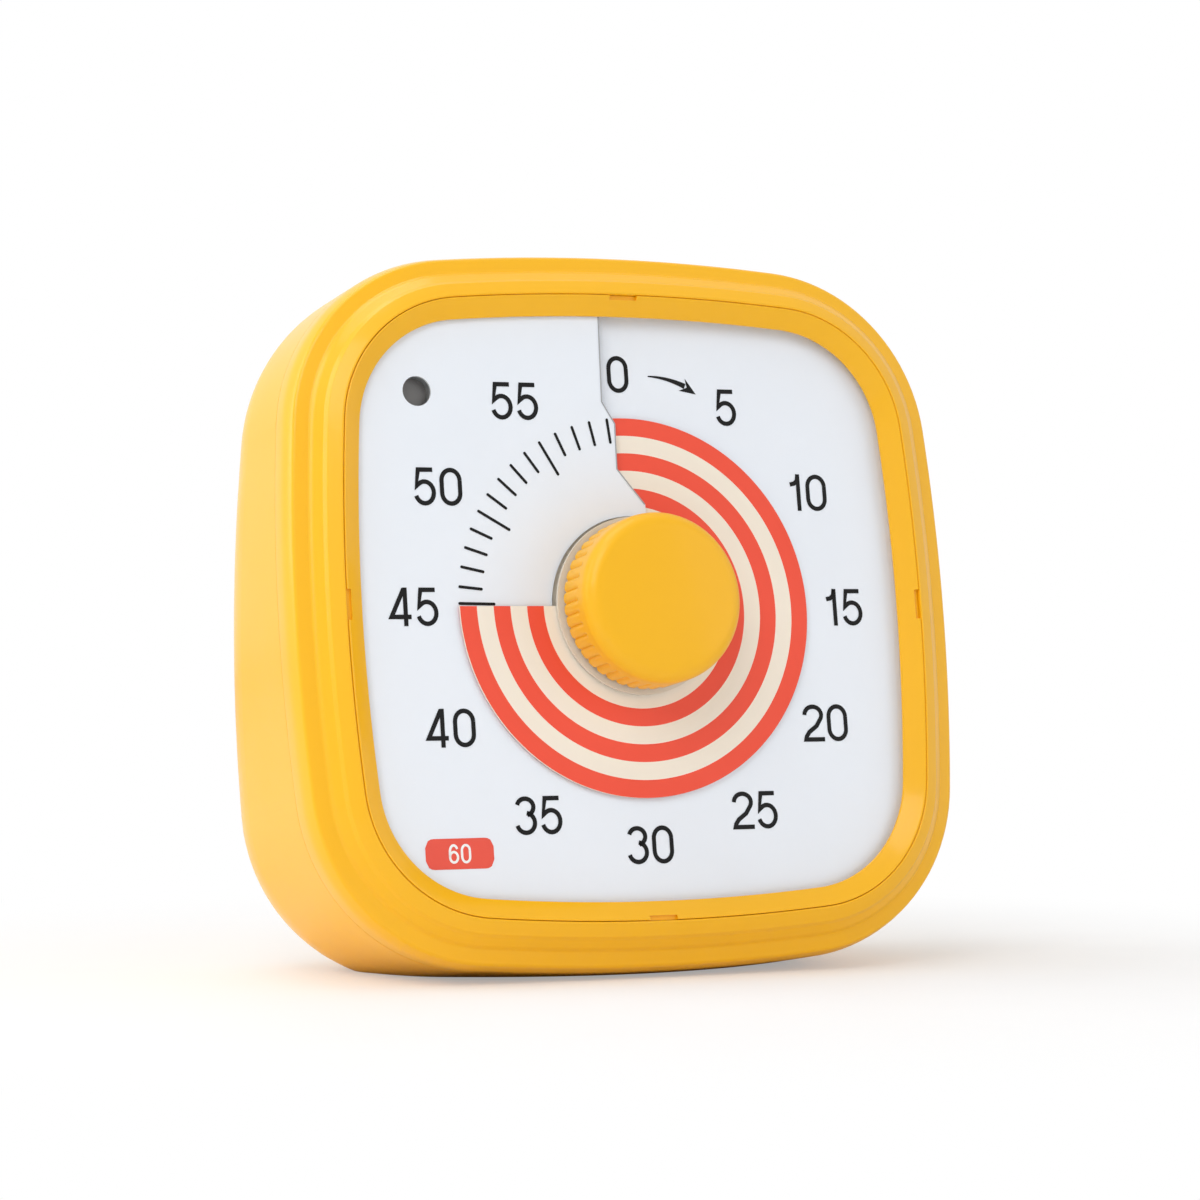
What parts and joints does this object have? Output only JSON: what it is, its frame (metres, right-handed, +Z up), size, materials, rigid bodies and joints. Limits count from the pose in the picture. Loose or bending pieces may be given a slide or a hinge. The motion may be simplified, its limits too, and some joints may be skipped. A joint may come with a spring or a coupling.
{
  "type": "visual countdown timer",
  "caption": "Table-top visual countdown timer with a rounded square case, a striped disc that winds out of a slit in the dial, and a fluted setting knob.",
  "frame": {"origin": "middle of the flat base that the timer stands on", "axes": "+Z up, -Y towards the viewer; the dial faces -Y and leans back 8.8 degrees"},
  "size_m": [0.0848, 0.0438, 0.0845],
  "materials": {
    "yellow_plastic": "glossy moulded ABS",
    "white_print": "satin printed sheet",
    "striped_print": "satin printed sheet, red and cream rings",
    "white_plastic": "moulded plastic",
    "grey_lens": "tinted window",
    "steel": "plain",
    "brass": "plain",
    "natural_plastic": "acetal",
    "copper_winding": "enamelled wire",
    "magnet": "sintered",
    "cell_jacket": "plain printed jacket",
    "board_green": "glass epoxy",
    "black_plastic": "moulded"
  },
  "bodies": {
    "case": {"front_case": "yellow_plastic", "rear_case": "yellow_plastic", "bezel_ring": "yellow_plastic", "dial_sheet": "white_print", "backplate": "white_plastic", "plate_screws": "steel", "lamp_lens": "grey_lens", "indicator_lamp": "grey_lens", "movement_front_plate": "natural_plastic", "movement_rear_plate": "natural_plastic", "movement_pillars": "brass", "stator": "steel", "motor_coil": "copper_winding", "coil_core": "steel", "alarm_contact": "brass", "battery": "cell_jacket", "battery_contact": "steel", "battery_spring": "steel", "circuit_board": "board_green", "buzzer": "black_plastic", "volume_switch": "black_plastic", "case_screws": "steel"},
    "dial_drive": {"knob": "yellow_plastic", "main_shaft": "steel", "zero_cam": "natural_plastic", "clutch_spring": "steel"},
    "disc": {"striped_disc": "striped_print", "disc_collar": "white_plastic"},
    "wheel": {"main_wheel": "natural_plastic"},
    "train": {"third_wheel": "natural_plastic"},
    "motor_rotor": {"rotor": "magnet"},
    "door": {"battery_door": "yellow_plastic"},
    "slider": {"volume_slider": "black_plastic"}
  },
  "joints": [
    {"name": "knob_turn", "type": "hinge", "parent": "case", "child": "dial_drive", "pos_m": [0, -0.01321, 0.043], "axis": [0, 0.9882, -0.153], "range_deg": [-270, 90]},
    {"name": "disc_rise", "type": "slide", "parent": "dial_drive", "child": "disc", "axis": [0, -0.9882, 0.153], "range_m": [-0.0009, 0.0003]},
    {"name": "wheel_turn", "type": "hinge", "parent": "case", "child": "wheel", "pos_m": [0, -0.00274, 0.04138], "axis": [0, 0.9882, -0.153], "continuous": true},
    {"name": "train_turn", "type": "hinge", "parent": "case", "child": "train", "pos_m": [0, -0.00308, 0.05613], "axis": [0, 0.9882, -0.153], "continuous": true},
    {"name": "rotor_turn", "type": "hinge", "parent": "case", "child": "motor_rotor", "pos_m": [-0.01132, -0.00308, 0.05613], "axis": [0, 0.9882, -0.153], "continuous": true},
    {"name": "door_swing", "type": "hinge", "parent": "case", "child": "door", "pos_m": [-0.02755, 0.01775, 0.02395], "axis": [0, 0, 1], "range_deg": [0, 75]},
    {"name": "volume_slide", "type": "slide", "parent": "case", "child": "slider", "axis": [1, 0, 0], "range_m": [0, 0.004]}
  ],
  "couplings": [
    {"joint": "disc_rise", "follows": "knob_turn", "m_per_rad": 0.00019099},
    {"joint": "train_turn", "follows": "wheel_turn", "ratio": -5},
    {"joint": "rotor_turn", "follows": "wheel_turn", "ratio": 30}
  ]
}
